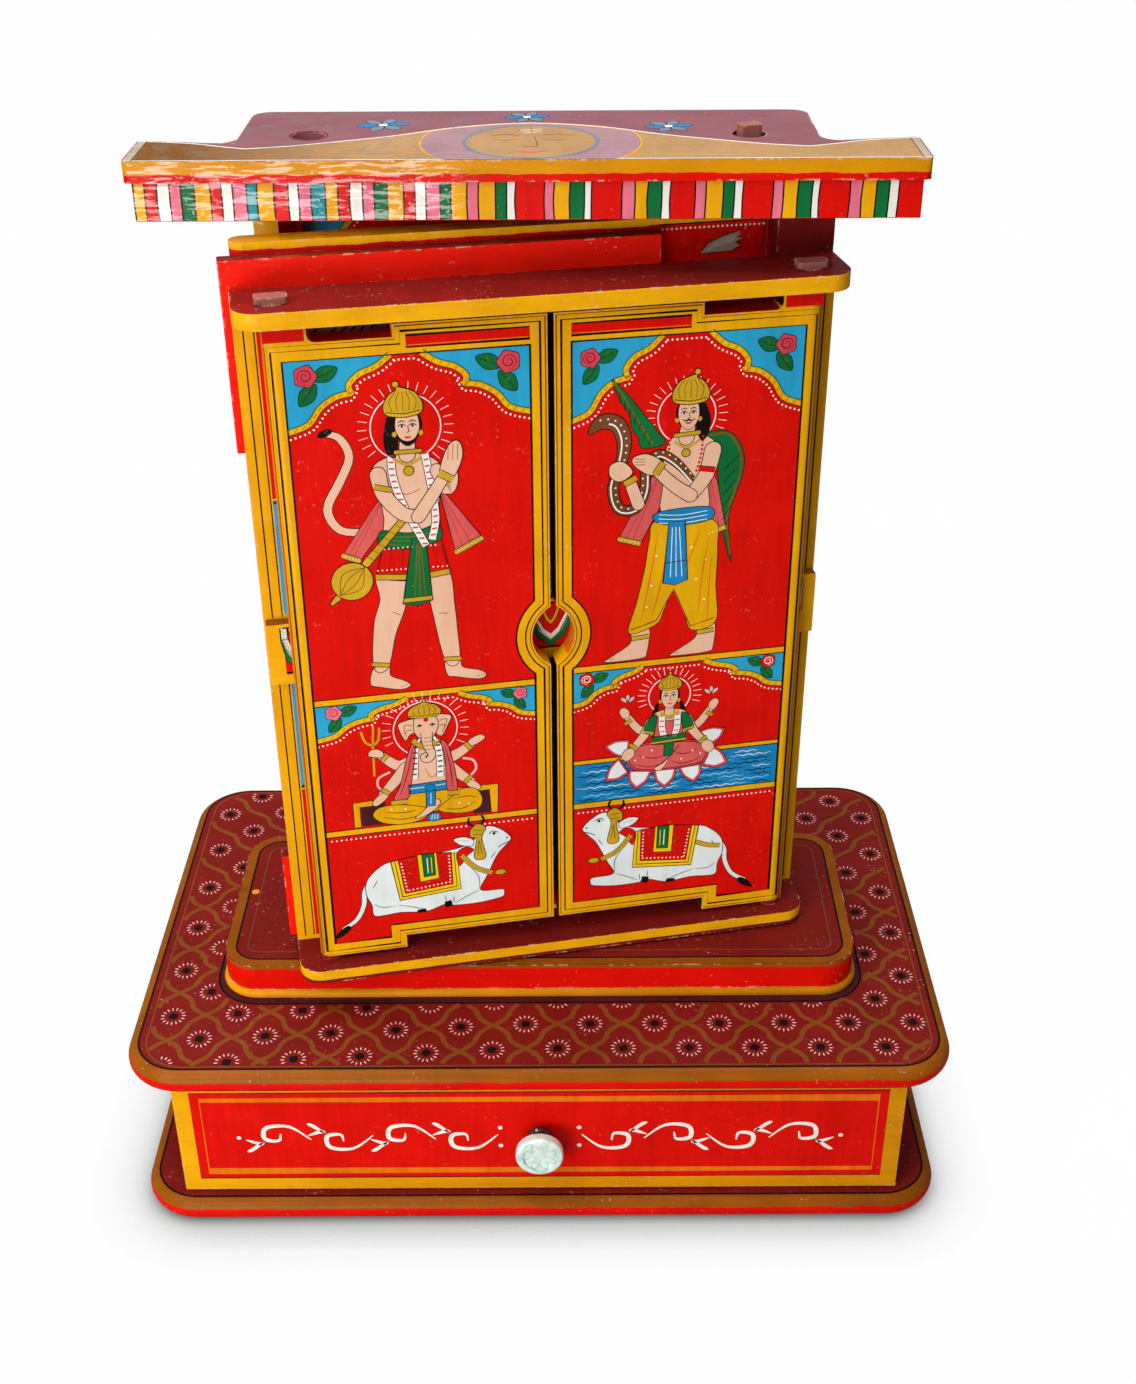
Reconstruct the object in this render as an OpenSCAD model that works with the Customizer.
// Painted storytelling shrine: a folk cabinet on a drawer base.
// A swinging gate with two small pintle doors hangs in front of a fixed niche under a flat roof.
// Front faces -Y, +X is the viewer's right, +Z is up. Millimetres and degrees.
// Drawn with the drawer and doors shut and the gate swung a little open.

/* [Base] */
// Width of the two rounded base plates
base_w = 600; // [560:1:680]
// Distance of the base plates' front edge ahead of the gate pivot
base_front = 188; // [165:1:230]
// Distance of the base plates' rear edge behind the gate pivot
base_rear = 180; // [165:1:220]
// Thickness of each base plate, its rim is half round
base_plate_t = 19; // [14:0.5:24]
// Corner radius of the base plates in plan
base_corner_r = 42; // [26:1:60]
// Clear height between the base plates
base_box_h = 109; // [90:1:140]
// How far the carcass sides stand in from the plates' ends
base_side_in = 35; // [27:1:52]
// Board thickness of the base carcass
base_wall_t = 14; // [9:0.5:20]
// Distance of the carcass back behind which the plates overhang
base_back_in = 30; // [10:1:60]

/* [Drawer] */
// How far the drawer front overlaps each carcass side
drawer_front_over = 2; // [0:0.5:6]
// Thickness of the drawer front
drawer_front_t = 16; // [12:0.5:20]
// How far the drawer front stands back from the plate rims
drawer_setback = 14; // [2:0.5:20]
// Gap between the shut drawer's back and the carcass back
drawer_rear_gap = 30; // [14:1:114]
// Thickness of the drawer sides and back
drawer_wall_t = 10; // [8:0.5:13]
// Thickness of the drawer bottom
drawer_floor_t = 5; // [3:0.5:8]
// Height of the drawer bottom above the lower edge of the sides
drawer_floor_up = 8; // [5:0.5:14]
// Height of the drawer sides
drawer_side_h = 88; // [60:1:88]
// Height of the two runner strips
runner_h = 3; // [2:0.5:6]
// Width of the two runner strips
runner_w = 20; // [12:1:30]

/* [Knob] */
// Diameter of the round knob
knob_d = 35; // [28:0.5:42]
// How far the knob stands out of the drawer front
knob_out = 22; // [16:0.5:30]
// Diameter of the knob's neck
knob_neck_d = 16; // [12:0.5:20]
// Thickness of the knob's disc
knob_disc_t = 9; // [7:0.5:11]
// Width of the raised ring round the knob's face
knob_ring_w = 3; // [2:0.25:5]
// Shank diameter of the knob screw
screw_d = 4; // [3:0.5:6]
// Head diameter of the knob screw
screw_head_d = 9; // [7:0.5:11]
// Depth that the screw reaches into the knob
screw_in = 13; // [8:0.5:14]

/* [Plinth] */
// Width of the plinth board
plinth_w = 474; // [440:1:520]
// Depth of the plinth board
plinth_d = 172; // [168:1:200]
// Distance of the plinth back behind the gate pivot
plinth_back_y = 66; // [66:1:90]
// Height of the plinth above the base
plinth_h = 30; // [24:0.5:40]
// Corner radius of the plinth in plan
plinth_r = 26; // [14:1:40]
// Height of the half round bead at the foot of the plinth
bead_h = 8; // [5:0.5:12]
// How far the bead stands out of the plinth
bead_out = 3; // [1:0.5:5]

/* [Niche] */
// Outside width of the fixed niche
niche_w = 358; // [350:1:360]
// Board thickness of the niche wall and divider
niche_wall_t = 16; // [12:0.5:18]
// Thickness of the niche back
niche_back_t = 9; // [6:0.5:10]
// Height of the niche between plinth and roof
niche_h = 566; // [560:1:600]
// Distance of the niche front behind the gate pivot
niche_front_y = 12; // [10:0.5:16]
// Distance of the rear face of the niche behind the gate pivot
niche_rear_y = 65; // [64:0.5:66]
// Distance of the divider's left face left of the gate pivot
divider_in = 39; // [37:1:80]
// Height of the shelf above the plinth
shelf_up = 262; // [120:1:420]
// Thickness of the shelf
shelf_t = 10; // [6:0.5:14]
// How far the shelf stands back from the niche front
shelf_in = 3; // [1:0.5:8]
// Diameter of the blind dowels that tie the walls to plinth and roof
dowel_d = 8; // [6:0.5:10]
// Length of each blind dowel
dowel_len = 28; // [20:1:32]
// Depth of each dowel in the roof or plinth
dowel_in = 8; // [5:0.5:9]
// Distance of the dowels from the front and rear edge of the walls
dowel_edge = 11; // [8:0.5:14]

/* [Roof] */
// Width of the roof across its ears
roof_w = 482; // [440:1:520]
// Distance of the roof's front edge ahead of the gate pivot
roof_front = 62; // [56:1:80]
// Depth of the wide front bar of the roof
roof_bar_d = 52; // [40:1:54]
// Width of the narrower rear part of the roof
roof_rear_w = 360; // [358:1:400]
// Thickness of the roof board
roof_t = 13; // [11:0.5:18]
// How far the rear edge of each ear falls from its tip toward the rear part
roof_ear_dip = 10; // [4:0.5:20]
// Radius of the hollow curve between ear and rear part
roof_cove_r = 12; // [4:1:20]
// Radius of the rear corners of the roof
roof_rear_r = 12; // [6:1:30]
// Radius of the ear corners
roof_ear_r = 4; // [2:0.5:10]
// Height of the striped fascia board
fascia_h = 24; // [16:0.5:26]
// Thickness of the fascia board
fascia_t = 10; // [6:0.5:14]
// How far the fascia stands in from the roof edge
fascia_in = 4; // [2:0.5:8]
// Diameter of the open mouth of each roof hole
roof_mouth_d = 21; // [19.5:0.5:24]
// Depth of the open mouth of each roof hole
roof_mouth_h = 5; // [2:0.5:6]

/* [Gate] */
// Angle at which the gate stands open
gate_rest = 11; // [0:1:40]
// Distance of the gate pivot from the gate's right end
pivot_inset = 54; // [49:0.5:58]
// Diameter of the gate's turned pivot pegs
pivot_d = 12; // [9:0.5:14]
// Width of the flat head of the gate's upper peg
pivot_head_w = 14.5; // [13:0.5:16]
// Depth of the flat head of the gate's upper peg
pivot_head_d = 10; // [8:0.5:10]
// Width of the gate plates
gate_w = 382; // [370:1:384]
// Distance of the gate plates' front edge ahead of the pivot
gate_front = 66.6; // [64:0.1:67]
// Thickness of the gate plates
gate_plate_t = 11; // [9:0.5:13]
// Corner radius of the gate plates
gate_r = 16; // [6:1:18]
// Clear height between the gate plates
gate_h = 483; // [460:1:486]
// Thickness of the leaf that turns on the pivot
leaf_t = 16; // [15:0.5:18]
// How far the leaf reaches past the pivot
leaf_heel = 15; // [14:0.5:17]
// How far the leaf stands in from the gate plates at its free end
leaf_in = 3; // [1:0.5:8]
// How far the leaf rises above the crest rail
leaf_over = 7; // [3:0.5:8]
// Thickness of the rear battens behind the gate panel
batten_t = 11; // [8:0.5:13]
// Distance of the battens' right end from the gate's right end
batten_in = 113; // [100:1:150]
// How far the battens stand out past the panel at the free end
batten_out = 5; // [0.5:0.5:6]
// Height that the crest rail rises above the top plate
crest_h = 18; // [12:0.5:20]
// Height of the upper batten including the crest rail
upper_batten_h = 124; // [100:1:200]
// Height of the lower batten
lower_batten_h = 72; // [50:1:120]
// Width of the heel post behind the panel's right end
post_w = 38; // [28:1:38]
// Thickness of the gate panel
panel_t = 8; // [6:0.5:10]
// Height of the crossbar
crossbar_h = 46; // [30:1:60]
// Thickness of the crossbar
crossbar_t = 8.5; // [6:0.5:9]
// Height of the crossbar's centre above the bottom plate
crossbar_up = 249; // [200:1:300]

/* [Doors] */
// Thickness of the two small doors
door_t = 16; // [14:0.5:17]
// Distance of the door pintles from the gate's ends
door_inset = 24; // [19:0.5:31]
// Distance of the door pintles ahead of the gate pivot
door_axis_w = 47; // [46.5:0.1:48]
// Diameter of the turned door pegs
door_peg_d = 16; // [12:0.5:16]
// Gap between the two doors
door_gap = 4; // [2:0.5:8]
// Gap under the hinge half of each door
door_low_gap = 4; // [2:0.5:8]
// Gap above the hinge half of each door
door_top_gap = 12.5; // [10:0.5:16]
// Step up from hinge half to free half at the door's top
door_step_top = 8; // [4:0.5:9]
// Step up from hinge half to free half at the door's bottom
door_step_low = 11; // [4:0.5:16]
// Width of the hinge half at the top, from the hinge edge
door_half_top = 78; // [60:1:100]
// Width of the hinge half at the bottom, from the hinge edge
door_half_low = 63; // [50:1:100]
// Height of the finger hole between the doors
finger_h = 45; // [36:1:60]
// Depth of the finger hole's scallop in each door
finger_d = 12.6; // [8:0.2:16]
// Height of the finger hole's centre above the bottom plate
finger_up = 254; // [200:1:300]
// Width of the tab under each upper peg, from the hinge edge
door_tab_w = 27; // [22:0.5:40]
// Radius of the hollow corner beside the tab
door_slot_r = 5; // [2:0.5:8]
// Width of the flat head of each upper door peg
door_head_w = 20; // [18:0.5:30]
// Depth of the flat head of each upper door peg
door_head_d = 11; // [9:0.5:16]
// Height of the flat head of each upper door peg
door_head_t = 4; // [3:0.5:8]

/* [Fits] */
// Radial clearance of turning pegs in their bores
run_clear = 0.05; // [0.02:0.01:0.09]
// Clearance of glued dowels, tails and panels in their seats
glue_clear = 0.05; // [0.02:0.01:0.2]
// Gap of the drawer to the plates, above and below
drawer_gap = 1; // [0.5:0.1:2]
// Side gap of the drawer in its carcass
drawer_side_gap = 1.5; // [0.5:0.1:3]
// Gap under the drawer sides over their runners
drawer_run_gap = 0.3; // [0.3:0.1:0.6]
// Gap between the shut drawer front and the carcass
drawer_stop_gap = 0.5; // [0.3:0.1:1.5]
// Height of the gate above the plinth
gate_lift = 2; // [1.5:0.1:4]
// Gap between the pivot washer and the leaf
washer_gap = 0.4; // [0.3:0.1:0.8]
// Gap between the tab of each door and the top plate
door_tab_gap = 1; // [0.5:0.1:2]
// Gap under the flat heads of the pegs
head_gap = 0.4; // [0.3:0.1:0.8]

/* [Hidden] */
$fn = 64;
// How far a cutting body runs past the face that it opens
over = 1;

// Places that follow the gate's width
pivot_x = gate_w / 2 - pivot_inset;
door_axis_x = gate_w / 2 - door_inset;
batten_x = gate_w / 2 - batten_in;
divider_x = pivot_x - divider_in;

// Heights of the stacked levels
z_base = base_plate_t * 2 + base_box_h;
z_plinth = z_base + plinth_h;
z_roof = z_plinth + niche_h;
z_gate = z_plinth + gate_lift;
z_low = z_gate + gate_plate_t;
z_high = z_low + gate_h;
z_deck = z_high + gate_plate_t;
z_crest = z_deck + crest_h;
z_leaf = z_crest + leaf_over;
z_tab = z_high - door_tab_gap;
z_mouth = z_roof + roof_t - roof_mouth_h;

// Base and drawer places
base_box_w = base_w - base_side_in * 2;
drawer_front_w = base_box_w + drawer_front_over * 2;
base_d = base_front + base_rear;
base_mid_y = (base_rear - base_front) / 2;
drawer_front_y = -base_front + drawer_setback;
carcass_front_y = drawer_front_y + drawer_front_t + drawer_stop_gap;
carcass_back_y = base_rear - base_back_in;
carcass_len = carcass_back_y - carcass_front_y;
inner_w = base_box_w - base_wall_t * 2;
drawer_w = inner_w - drawer_side_gap * 2;
drawer_back_y = carcass_back_y - base_wall_t - drawer_rear_gap;
drawer_len = drawer_back_y - drawer_front_y - drawer_front_t;
drawer_low_z = base_plate_t + runner_h + drawer_run_gap;
drawer_floor_z = drawer_low_z + drawer_floor_up;
groove_in = drawer_wall_t / 2;
front_h = base_box_h - drawer_gap * 2;
knob_z = base_plate_t + base_box_h / 2;
knob_face_y = drawer_front_y - knob_out;
screw_head_t = 2.5;
knob_edge_r = 2.4;
knob_dish = 1.2;
knob_foot = 1.5;

// Distances ahead of the gate pivot, front to back of each layer
w_leaf = leaf_t / 2;
w_batten = w_leaf + batten_t;
w_panel = w_batten + panel_t;
w_bar = w_panel + crossbar_t;

// Pegs
peg_tail_d = 9;
peg_tail_len = 22;
peg_end = 1;
head_r = 2.5;
low_bore_floor = 2;
low_bore = gate_plate_t - low_bore_floor;
low_peg = low_bore - 0.5;
pivot_in = 24;
pivot_over = 6;
plug_t = 7;
washer_rim = 7;
washer_d = pivot_d + washer_rim * 2;
washer_t = gate_lift - washer_gap;

// Doors
door_edge_x = door_axis_x + door_t / 2;
door_free_x = door_gap / 2;
door_z0 = z_low + door_low_gap;
door_z1 = z_high - door_top_gap;
tab_x = door_edge_x - door_tab_w;
finger_z = z_low + finger_up;
finger_r = (pow(finger_h / 2, 2) + pow(finger_d, 2)) / (2 * finger_d);

// Paint colours
c_red = "#c8281e";
c_maroon = "#5a2226";
c_yellow = "#e2a520";
c_olive = "#8f7a2c";
c_wood = "#a77a4c";
c_mint = "#dfe7dc";
c_brass = "#b89a52";

// A rectangle with round corners, centred
module round_rect(w, d, r) {
  square([w - r * 2, d], center = true);
  square([w, d - r * 2], center = true);
  for (sx = [-1, 1], sy = [-1, 1])
    translate([sx * (w / 2 - r), sy * (d / 2 - r)]) circle(r);
}

// Half of a round rim profile, bulging to +X
module rim_profile(t) {
  intersection() {
    translate([0, t / 2]) circle(t / 2);
    square([t, t]);
  }
}

// A board with round corners and a half round rim on all sides, centred, standing on z = 0
module bullnose_board(w, d, t, r) {
  ri = max(r - t / 2, 1);
  linear_extrude(t) round_rect(w - t, d - t, ri);
  for (a = [0, 180]) {
    // long sides run along X, short sides along Y
    rotate([0, 0, a]) translate([w / 2 - t / 2, d / 2 - t / 2 - ri, 0])
      rotate([90, 0, 0]) linear_extrude(d - t - ri * 2) rim_profile(t);
    rotate([0, 0, a + 90]) translate([d / 2 - t / 2, w / 2 - t / 2 - ri, 0])
      rotate([90, 0, 0]) linear_extrude(w - t - ri * 2) rim_profile(t);
  }
  for (sx = [-1, 1], sy = [-1, 1])
    translate([sx * (w / 2 - t / 2 - ri), sy * (d / 2 - t / 2 - ri), 0])
      rotate([0, 0, sx > 0 ? (sy > 0 ? 0 : 270) : (sy > 0 ? 90 : 180)])
        rotate_extrude(angle = 90) translate([ri, 0]) rim_profile(t);
}

// A block between two corners
module block(a, b) {
  translate(a) cube(b - a);
}

// Puts a gate piece, drawn shut, at the gate's rest angle
module in_gate() {
  translate([pivot_x, 0, 0]) rotate([0, 0, gate_rest]) translate([-pivot_x, 0, 0]) children();
}

// A turned peg: a stout round end with a slim glued tail below it
module turned_peg(d, len) {
  cylinder(d = d, h = len - peg_end);
  translate([0, 0, len - peg_end]) cylinder(d1 = d, d2 = d - peg_end * 2, h = peg_end);
  translate([0, 0, -peg_tail_len]) cylinder(d = peg_tail_d, h = peg_tail_len);
}

// A peg put in from above: a flat head, a round shank of length len and a slim glued tail below it
module headed_peg(d, len, head) {
  translate([0, 0, -peg_tail_len]) cylinder(d = peg_tail_d, h = peg_tail_len);
  cylinder(d = d, h = len);
  translate([0, 0, len]) linear_extrude(head[2]) round_rect(head[0], head[1], head_r);
}

// The socket that a peg's tail is glued into, opening upward at z = 0
module tail_socket() {
  translate([0, 0, -peg_tail_len - over])
    cylinder(d = peg_tail_d + glue_clear * 2, h = peg_tail_len + over * 2);
}

module base_bottom_plate() {
  color(c_maroon) translate([0, base_mid_y, 0])
    bullnose_board(base_w, base_d, base_plate_t, base_corner_r);
}

module base_top_plate() {
  color(c_maroon) translate([0, base_mid_y, base_plate_t + base_box_h])
    bullnose_board(base_w, base_d, base_plate_t, base_corner_r);
}

// One side board of the base carcass, side = -1 or 1
module base_side(side) {
  x0 = side > 0 ? base_box_w / 2 - base_wall_t : -base_box_w / 2;
  translate([x0, carcass_front_y, base_plate_t]) cube([base_wall_t, carcass_len, base_box_h]);
}

module base_side_left() {
  color(c_red) base_side(-1);
}

module base_side_right() {
  color(c_red) base_side(1);
}

module base_back() {
  color(c_red) translate([-inner_w / 2, carcass_back_y - base_wall_t, base_plate_t])
    cube([inner_w, base_wall_t, base_box_h]);
}

module drawer_runners() {
  color(c_wood) for (s = [-1, 1])
    translate([s * (inner_w - runner_w) / 2 - runner_w / 2, carcass_front_y, base_plate_t])
      cube([runner_w, carcass_len - base_wall_t, runner_h]);
}

module drawer_front() {
  color(c_red) difference() {
    translate([-drawer_front_w / 2, drawer_front_y, base_plate_t + drawer_gap])
      cube([drawer_front_w, drawer_front_t, front_h]);
    // groove for the drawer bottom
    translate([-drawer_w / 2 + groove_in, drawer_front_y + drawer_front_t - groove_in, drawer_floor_z])
      cube([drawer_w - groove_in * 2, groove_in + 1, drawer_floor_t + glue_clear]);
    // screw hole for the knob
    translate([0, drawer_front_y - over, knob_z]) rotate([-90, 0, 0])
      cylinder(d = screw_d + glue_clear * 2, h = drawer_front_t + over * 2);
  }
}

// One side board of the drawer with the groove for its bottom
module drawer_side(side) {
  x0 = side > 0 ? drawer_w / 2 - drawer_wall_t : -drawer_w / 2;
  xg = side > 0 ? drawer_w / 2 - drawer_wall_t - over : -drawer_w / 2 + drawer_wall_t - groove_in;
  difference() {
    translate([x0, drawer_front_y + drawer_front_t, drawer_low_z])
      cube([drawer_wall_t, drawer_len, drawer_side_h]);
    translate([xg, drawer_front_y + drawer_front_t - over, drawer_floor_z])
      cube([groove_in + over, drawer_len + over * 2, drawer_floor_t + glue_clear]);
  }
}

module drawer_side_left() {
  color(c_wood) drawer_side(-1);
}

module drawer_side_right() {
  color(c_wood) drawer_side(1);
}

module drawer_back() {
  zb = drawer_floor_z + drawer_floor_t + glue_clear;
  color(c_wood) translate([-drawer_w / 2 + drawer_wall_t, drawer_back_y - drawer_wall_t, zb])
    cube([drawer_w - drawer_wall_t * 2, drawer_wall_t, drawer_low_z + drawer_side_h - zb]);
}

module drawer_floor() {
  w = drawer_w - drawer_wall_t * 2 + groove_in * 2 - glue_clear * 2;
  y0 = drawer_front_y + drawer_front_t - groove_in + glue_clear;
  color(c_wood) translate([-w / 2, y0, drawer_floor_z])
    cube([w, drawer_back_y - y0, drawer_floor_t]);
}

// Turned knob: a flared neck, a rolled edge, a raised ring and a dished face
module knob_profile() {
  r = knob_d / 2;
  neck_r = knob_neck_d / 2;
  z1 = knob_out - knob_disc_t;
  difference() {
    union() {
      polygon([
        [0, 0], [neck_r + knob_foot, 0], [neck_r + knob_foot, knob_foot], [neck_r, knob_foot * 2],
        [neck_r, z1 - knob_foot * 2], [r - knob_edge_r, z1], [r - knob_edge_r, knob_out], [0, knob_out]
      ]);
      translate([r - knob_edge_r, z1 + knob_edge_r]) circle(knob_edge_r);
      translate([r - knob_edge_r, knob_out - knob_edge_r]) circle(knob_edge_r);
      translate([r - knob_edge_r * 2, z1 + knob_edge_r])
        square([knob_edge_r * 2, knob_disc_t - knob_edge_r * 2]);
    }
    translate([-1, knob_out - knob_dish])
      square([r - knob_edge_r - knob_ring_w + 1, knob_dish + 1]);
    translate([-1, -1]) square([screw_d / 2 + glue_clear + 1, screw_in + 1.5]);
    translate([-r, -1]) square([r, knob_out + 2]);
  }
}

module drawer_knob() {
  color(c_mint) translate([0, drawer_front_y, knob_z]) rotate([90, 0, 0])
    rotate_extrude() knob_profile();
}

module knob_screw() {
  color(c_brass) translate([0, drawer_front_y + drawer_front_t, knob_z]) rotate([90, 0, 0]) {
    cylinder(d = screw_d, h = drawer_front_t + screw_in);
    translate([0, 0, -screw_head_t]) cylinder(d1 = screw_head_d - 2, d2 = screw_head_d, h = screw_head_t);
  }
}

// Plinth: a rounded board on a half round bead, with the blind socket of the gate's lower peg
module plinth() {
  color(c_red) difference() {
    translate([0, plinth_back_y - plinth_d / 2, z_base]) {
      bullnose_board(plinth_w + bead_out * 2, plinth_d, bead_h, plinth_r + bead_out);
      translate([0, 0, bead_h]) linear_extrude(plinth_h - bead_h)
        round_rect(plinth_w, plinth_d - bead_out * 2, plinth_r);
    }
    translate([pivot_x, 0, z_plinth - pivot_in]) cylinder(d = pivot_d + run_clear * 2, h = pivot_in + 1);
    dowel_holes(z_plinth, -1);
  }
}

// The four places of the blind dowels, two in the wall and two in the divider
module dowel_places() {
  for (x = [-niche_w / 2 + niche_wall_t / 2, divider_x + niche_wall_t / 2])
    for (y = [niche_front_y + dowel_edge, niche_rear_y - niche_back_t - dowel_edge])
      translate([x, y, 0]) children();
}

// Blind holes in a board that meets the walls at height z, going up or down
module dowel_holes(z, way) {
  dowel_places()
    translate([0, 0, way > 0 ? z - 1 : z - dowel_in - 0.5])
      cylinder(d = dowel_d + glue_clear * 2, h = dowel_in + 1.5);
}

// An upright of the niche with its dowel holes at both ends
module upright(x) {
  difference() {
    block([x, niche_front_y, z_plinth], [x + niche_wall_t, niche_rear_y - niche_back_t, z_roof]);
    dowel_places() {
      translate([0, 0, z_plinth - 1]) cylinder(d = dowel_d + glue_clear * 2, h = dowel_len - dowel_in + 1.5);
      translate([0, 0, z_roof - dowel_len + dowel_in - 0.5])
        cylinder(d = dowel_d + glue_clear * 2, h = dowel_len - dowel_in + 1.5);
    }
  }
}

module niche_wall() {
  color(c_yellow) upright(-niche_w / 2);
}

module niche_divider() {
  color(c_red) upright(divider_x);
}

module niche_back() {
  color(c_red) block(
    [-niche_w / 2, niche_rear_y - niche_back_t, z_plinth],
    [niche_w / 2, niche_rear_y, z_roof]
  );
}

module niche_shelf() {
  z = z_plinth + shelf_up;
  color(c_red) block(
    [-niche_w / 2 + niche_wall_t, niche_front_y + shelf_in, z],
    [divider_x, niche_rear_y - niche_back_t, z + shelf_t]
  );
}

module niche_dowels() {
  color(c_wood) dowel_places() {
    translate([0, 0, z_plinth - dowel_in]) cylinder(d = dowel_d, h = dowel_len);
    translate([0, 0, z_roof + dowel_in - dowel_len]) cylinder(d = dowel_d, h = dowel_len);
  }
}

// Roof outline: a wide front bar whose ears sweep in to a narrower rear part
module roof_outline() {
  half = roof_rear_w / 2;
  tip_x = roof_w / 2;
  tip_y = -roof_front + roof_bar_d;
  slope = roof_ear_dip / (tip_x - half);
  // the cove touches the side of the rear part and the falling edge of the ear
  touch = roof_cove_r / tan((90 - atan(slope)) / 2);
  run = touch * cos(atan(slope));
  difference() {
    translate([0, tip_y - roof_bar_d / 2]) round_rect(roof_w, roof_bar_d, roof_ear_r);
    for (s = [-1, 1])
      polygon([
        [s * (half - over), tip_y - roof_ear_dip - over * slope], [s * (tip_x + over), tip_y + over * slope],
        [s * (tip_x + over), tip_y + over], [s * (half - over), tip_y + over]
      ]);
  }
  translate([0, (niche_rear_y - roof_front) / 2])
    round_rect(roof_rear_w, niche_rear_y + roof_front, roof_rear_r);
  for (s = [-1, 1]) translate([s * half, tip_y - roof_ear_dip]) difference() {
    polygon([[-s * over, -over], [s * run, run * slope], [s * roof_cove_r, touch], [0, touch]]);
    translate([s * roof_cove_r, touch]) circle(roof_cove_r);
  }
}

module roof_board() {
  color(c_yellow) difference() {
    translate([0, 0, z_roof]) linear_extrude(roof_t) roof_outline();
    // the turning peg's bore, opened wider at the top
    translate([pivot_x, 0, z_roof - 1]) cylinder(d = pivot_d + run_clear * 2, h = roof_t + 2);
    translate([pivot_x, 0, z_mouth]) cylinder(d = roof_mouth_d, h = roof_mouth_h + 1);
    // the plugged hole of the other side
    translate([-pivot_x, 0, z_roof - 1]) cylinder(d = roof_mouth_d, h = roof_t + 2);
    dowel_holes(z_roof, 1);
  }
}

module roof_fascia() {
  color(c_yellow) block(
    [-roof_w / 2 + fascia_in, -roof_front + fascia_in, z_roof - fascia_h],
    [roof_w / 2 - fascia_in, -roof_front + fascia_in + fascia_t, z_roof]
  );
}

module roof_plug() {
  color(c_red) translate([-pivot_x, 0, z_roof]) cylinder(d = roof_mouth_d - glue_clear * 2, h = plug_t);
}

module pivot_washer() {
  color(c_brass) translate([pivot_x, 0, z_plinth]) difference() {
    cylinder(d = washer_d, h = washer_t);
    translate([0, 0, -1]) cylinder(d = pivot_d + run_clear * 2, h = washer_t + 2);
  }
}

// A gate plate from its front edge back to the layer at distance w, with round front corners
module gate_plate(w) {
  depth = gate_front - w;
  translate([0, -gate_front + depth / 2]) {
    round_rect(gate_w, depth, gate_r);
    translate([0, depth / 4]) square([gate_w, depth / 2], center = true);
  }
}

module gate_bottom_plate() {
  color(c_yellow) in_gate() difference() {
    translate([0, 0, z_gate]) linear_extrude(gate_plate_t) gate_plate(w_leaf);
    for (s = [-1, 1]) translate([s * door_axis_x, -door_axis_w, z_low - low_bore])
      cylinder(d = door_peg_d + run_clear * 2, h = low_bore + 1);
  }
}

module gate_top_plate() {
  color(c_yellow) in_gate() difference() {
    translate([0, 0, z_high]) linear_extrude(gate_plate_t) gate_plate(w_batten);
    for (s = [-1, 1]) translate([s * door_axis_x, -door_axis_w, z_high - 1])
      cylinder(d = door_peg_d + run_clear * 2, h = gate_plate_t + 2);
  }
}

// The leaf that carries the gate, with half round ends
module gate_leaf() {
  x0 = -gate_w / 2 + leaf_in + leaf_t / 2;
  x1 = pivot_x + leaf_heel - leaf_t / 2;
  color(c_red) in_gate() difference() {
    translate([0, 0, z_gate]) linear_extrude(z_leaf - z_gate) {
      translate([x0, -leaf_t / 2]) square([x1 - x0, leaf_t]);
      translate([x0, 0]) circle(d = leaf_t);
      translate([x1, 0]) circle(d = leaf_t);
    }
    translate([pivot_x, 0, z_leaf]) tail_socket();
    translate([pivot_x, 0, z_gate]) mirror([0, 0, 1]) tail_socket();
  }
}

// A rear batten of the gate between two heights
module rear_batten(z0, z1) {
  block([-gate_w / 2 - batten_out, -w_batten, z0], [batten_x, -w_leaf, z1]);
}

module gate_upper_batten() {
  color(c_red) in_gate() rear_batten(z_crest - upper_batten_h, z_crest);
}

module gate_lower_batten() {
  color(c_red) in_gate() rear_batten(z_low, z_low + lower_batten_h);
}

module gate_heel_post() {
  color(c_red) in_gate() block([gate_w / 2 - post_w, -w_batten, z_low], [gate_w / 2, -w_leaf, z_leaf]);
}

module gate_panel() {
  color(c_yellow) in_gate() block([-gate_w / 2, -w_panel, z_low], [gate_w / 2, -w_batten, z_high]);
}

module gate_crossbar() {
  z = z_low + crossbar_up;
  color(c_yellow) in_gate()
    block([-gate_w / 2 + 1, -w_bar, z - crossbar_h / 2], [gate_w / 2 - 1, -w_panel, z + crossbar_h / 2]);
}

module gate_pivot_top() {
  head_z = z_mouth + head_gap;
  color(c_red) in_gate() translate([pivot_x, 0, z_leaf])
    headed_peg(pivot_d, head_z - z_leaf, [pivot_head_w, pivot_head_d, z_roof + roof_t + pivot_over - head_z]);
}

module gate_pivot_bottom() {
  color(c_red) in_gate() translate([pivot_x, 0, z_gate]) mirror([0, 0, 1])
    turned_peg(pivot_d, gate_lift + pivot_in - 1);
}

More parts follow.
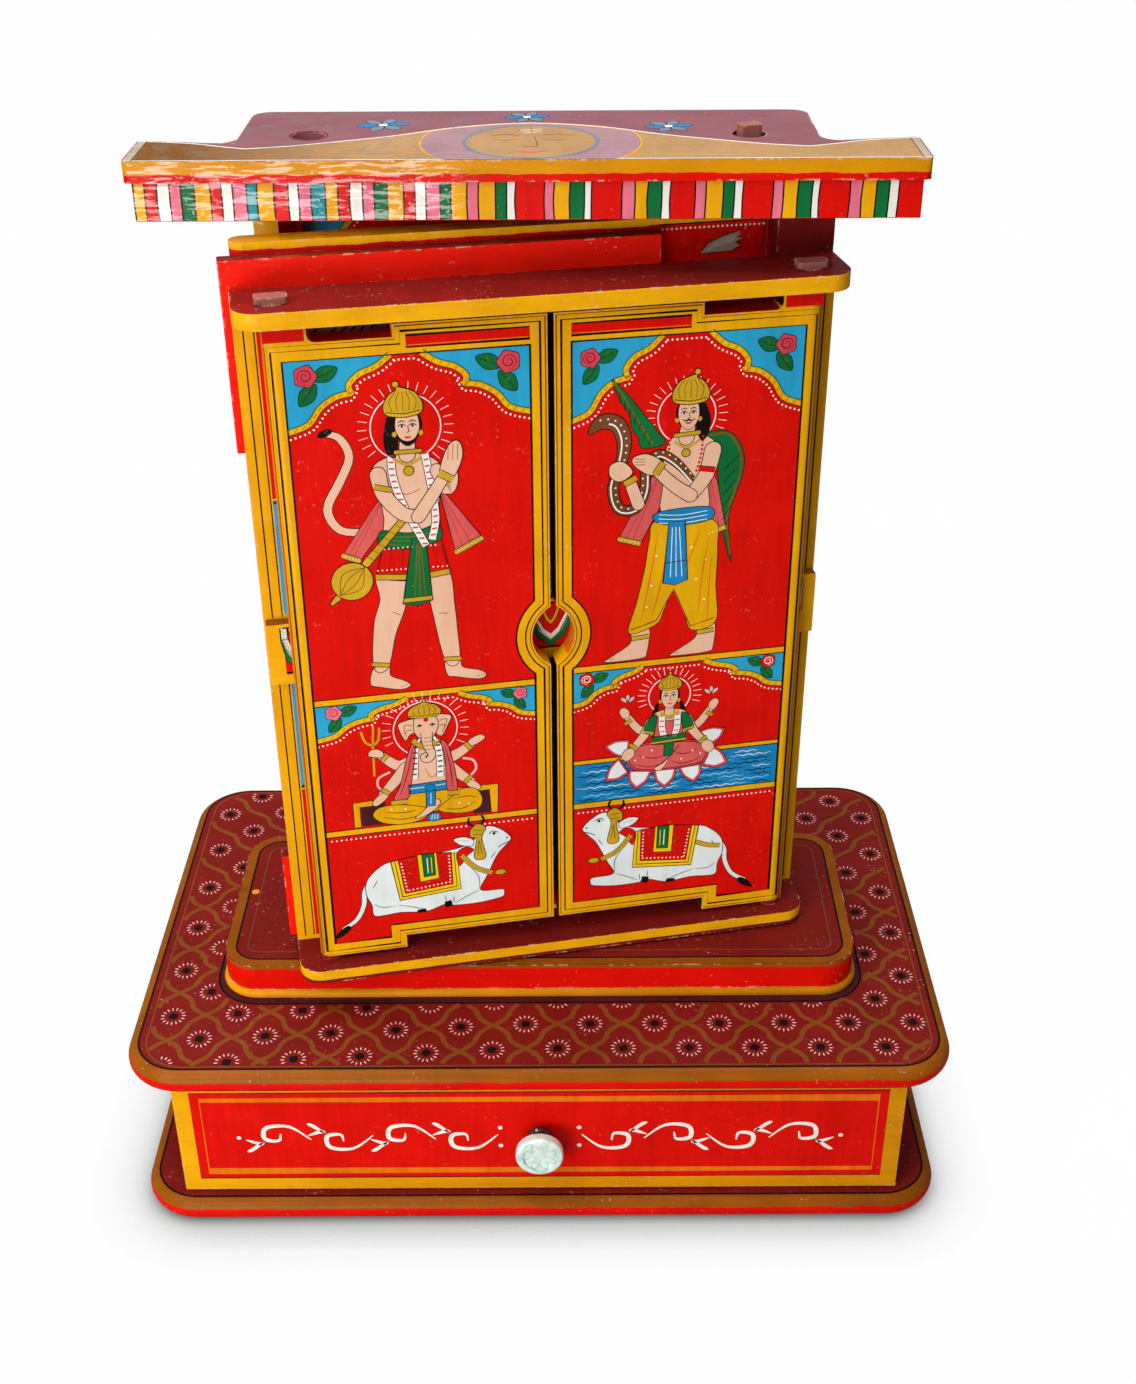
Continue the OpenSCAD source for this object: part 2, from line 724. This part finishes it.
// Outline of the right door in the plane of the gate: stepped ends, hinge tab, finger scallop
module door_outline() {
  difference() {
    union() {
      translate([door_free_x, door_z0 + door_step_low])
        square([door_axis_x - door_free_x, door_z1 - door_z0 - door_step_low]);
      translate([door_edge_x - door_half_low, door_z0])
        square([door_half_low - door_t / 2, door_step_low + 1]);
      translate([door_free_x, door_z1 - 1])
        square([door_edge_x - door_half_top - door_free_x, door_step_top + 1]);
      // tab at the hinge edge, with a hollow corner to the slot beside it
      translate([tab_x, door_z1 - 1]) square([door_axis_x - tab_x, z_tab - door_z1 + 1]);
      difference() {
        translate([tab_x - door_slot_r, door_z1 - 1]) square([door_slot_r + 1, door_slot_r + 1]);
        translate([tab_x - door_slot_r, door_z1 + door_slot_r]) circle(door_slot_r);
      }
    }
    translate([door_free_x + finger_d - finger_r, finger_z]) circle(finger_r);
  }
}

// One door, side = 1 for the right door and -1 for its mirror image
module door(side) {
  in_gate() mirror([side > 0 ? 0 : 1, 0, 0]) difference() {
    union() {
      translate([0, -door_axis_w + door_t / 2, 0]) rotate([90, 0, 0]) linear_extrude(door_t) door_outline();
      translate([door_axis_x, -door_axis_w, door_z0]) cylinder(d = door_t, h = z_tab - door_z0);
    }
    translate([door_axis_x, -door_axis_w, z_tab]) tail_socket();
    translate([door_axis_x, -door_axis_w, door_z0]) mirror([0, 0, 1]) tail_socket();
  }
}

module door_peg_top(side) {
  in_gate() translate([side * door_axis_x, -door_axis_w, z_tab])
    headed_peg(door_peg_d, z_deck + head_gap - z_tab, [door_head_w, door_head_d, door_head_t]);
}

module door_peg_bottom(side) {
  in_gate() translate([side * door_axis_x, -door_axis_w, door_z0]) mirror([0, 0, 1])
    turned_peg(door_peg_d, door_low_gap + low_peg);
}

module left_door() {
  color(c_yellow) door(-1);
}

module left_door_peg_top() {
  color(c_red) door_peg_top(-1);
}

module left_door_peg_bottom() {
  color(c_red) door_peg_bottom(-1);
}

module right_door() {
  color(c_yellow) door(1);
}

module right_door_peg_top() {
  color(c_red) door_peg_top(1);
}

module right_door_peg_bottom() {
  color(c_red) door_peg_bottom(1);
}

base_bottom_plate();
base_top_plate();
base_side_left();
base_side_right();
base_back();
drawer_runners();
drawer_front();
drawer_side_left();
drawer_side_right();
drawer_back();
drawer_floor();
drawer_knob();
knob_screw();
plinth();
niche_wall();
niche_divider();
niche_back();
niche_shelf();
niche_dowels();
roof_board();
roof_fascia();
roof_plug();
pivot_washer();
gate_bottom_plate();
gate_top_plate();
gate_leaf();
gate_upper_batten();
gate_lower_batten();
gate_heel_post();
gate_panel();
gate_crossbar();
gate_pivot_top();
gate_pivot_bottom();
left_door();
left_door_peg_top();
left_door_peg_bottom();
right_door();
right_door_peg_top();
right_door_peg_bottom();
